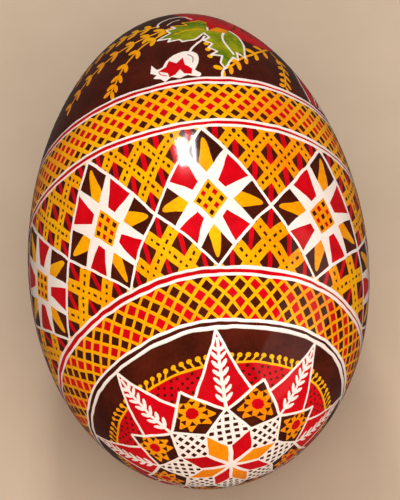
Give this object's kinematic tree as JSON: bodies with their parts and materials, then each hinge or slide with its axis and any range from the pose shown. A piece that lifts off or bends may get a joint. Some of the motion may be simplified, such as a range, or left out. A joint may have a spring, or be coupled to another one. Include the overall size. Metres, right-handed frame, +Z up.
{
  "type": "decorated egg",
  "caption": "Hollow goose egg lying on its side, its dyed skin drawn with nets, eight-pointed stars in diamonds, a petal rosette and a dark flower cap.",
  "frame": {"origin": "centre of the bounding box in X and Y, on the surface the egg lies on", "axes": "+Y along the egg's axis towards the pointed end, +Z up, the broad end and its rosette at -Y"},
  "size_m": [0.057, 0.0889, 0.057],
  "materials": {
    "bare_shell": "matte, bare calcite",
    "membrane": "matte, dry",
    "undyed_skin": "glossy clear varnish over undyed shell",
    "yellow_dye": "glossy clear varnish over yellow dye",
    "orange_dye": "glossy clear varnish over orange dye",
    "red_dye": "glossy clear varnish over red dye",
    "brown_dye": "glossy clear varnish over dark brown dye",
    "green_dye": "glossy clear varnish over green dye"
  },
  "bodies": {
    "root": {"eggshell": "bare_shell", "outer_membrane": "membrane", "inner_membrane": "membrane", "flower_cap_skin": "brown_dye", "upper_net_skin": "yellow_dye", "star_band_skin": "brown_dye", "diamond_fields": "red_dye", "stars": "undyed_skin", "star_centres": "yellow_dye", "lower_net_skin": "yellow_dye", "rosette_skin": "brown_dye", "rosette_petals": "red_dye", "rosette_flower": "orange_dye", "ring_lines": "undyed_skin", "ring_gaps": "red_dye", "outlines": "undyed_skin"}
  },
  "joints": []
}
